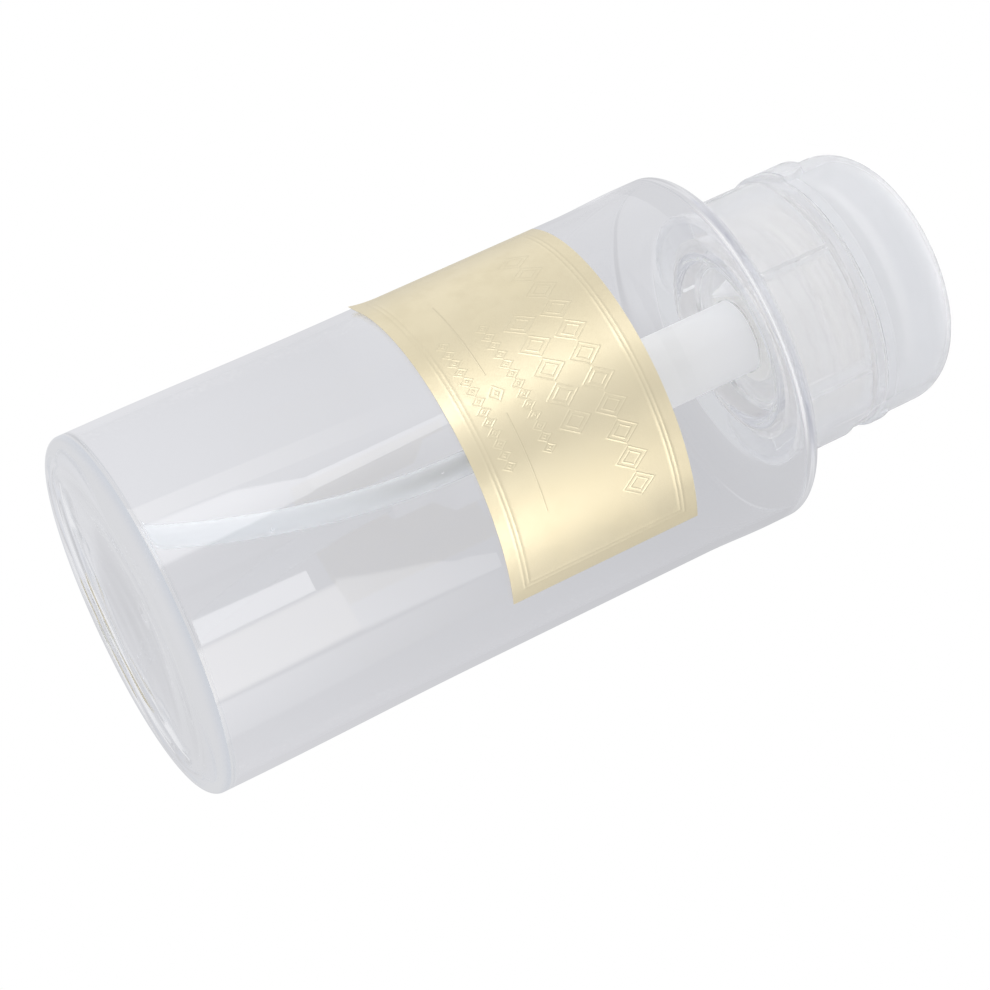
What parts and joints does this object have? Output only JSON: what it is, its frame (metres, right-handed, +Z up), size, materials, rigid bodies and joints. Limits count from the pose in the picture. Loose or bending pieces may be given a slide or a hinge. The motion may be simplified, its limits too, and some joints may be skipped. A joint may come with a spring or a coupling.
{
  "type": "nail polish remover pump",
  "caption": "Clear cylindrical bottle with a foil label, a translucent screw closure with a flip lid, and a press-down dish pump with a sprung plunger, ball valves and a dip tube.",
  "frame": {"origin": "centre of the foot, on the surface that the bottle stands on", "axes": "+Z up the bottle's axis to the lid, -X to the lid's hinge, +X to its thumb lip, label facing -Y"},
  "size_m": [0.06, 0.06, 0.1415],
  "materials": {
    "clear_plastic": "clear polished blown plastic",
    "gold_foil": "satin gold foil",
    "foam": "closed-cell foam",
    "frosted_plastic": "translucent natural moulding",
    "white_plastic": "white moulding",
    "tube_plastic": "translucent extruded tube",
    "spring_steel": "bright drawn wire",
    "soft_plastic": "soft moulding",
    "dish_plastic": "smooth moulding",
    "ball_glass": "polished glass"
  },
  "bodies": {
    "bottle_body": {"bottle": "clear_plastic", "label": "gold_foil"},
    "pump": {"neck_gasket": "foam", "well_insert": "frosted_plastic", "pump_housing": "white_plastic", "retaining_ring": "white_plastic", "dip_tube": "tube_plastic", "return_spring": "spring_steel"},
    "plunger": {"plunger_stem": "white_plastic", "piston": "soft_plastic", "dish": "dish_plastic", "outlet_crown": "dish_plastic"},
    "screw_collar": {"collar": "frosted_plastic"},
    "flip_lid": {"lid": "frosted_plastic"},
    "lower_valve": {"lower_ball": "ball_glass"},
    "upper_valve": {"upper_ball": "ball_glass"}
  },
  "joints": [
    {"name": "head_lift", "type": "slide", "parent": "bottle_body", "child": "pump", "axis": [0, 0, 1], "range_m": [0, 0.00634]},
    {"name": "collar_unscrew", "type": "hinge", "parent": "pump", "child": "screw_collar", "pos_m": [0, 0, 0.1094], "axis": [0, 0, 1], "range_deg": [0, 540]},
    {"name": "lid_hinge", "type": "hinge", "parent": "screw_collar", "child": "flip_lid", "pos_m": [-0.02285, 0, 0.12585], "axis": [0, -1, 0], "range_deg": [0, 165]},
    {"name": "plunger_press", "type": "slide", "parent": "pump", "child": "plunger", "axis": [0, 0, -1], "range_m": [0, 0.006], "stiffness_N_per_m": 500, "springref_m": -0.008, "deforming": ["return_spring"]},
    {"name": "lower_ball_lift", "type": "slide", "parent": "pump", "child": "lower_valve", "axis": [0, 0, 1], "range_m": [0, 0.0015]},
    {"name": "upper_ball_lift", "type": "slide", "parent": "plunger", "child": "upper_valve", "axis": [0, 0, 1], "range_m": [0, 0.0006]}
  ],
  "couplings": [
    {"joint": "collar_unscrew", "follows": "head_lift", "rad_per_m": 1485.3}
  ]
}
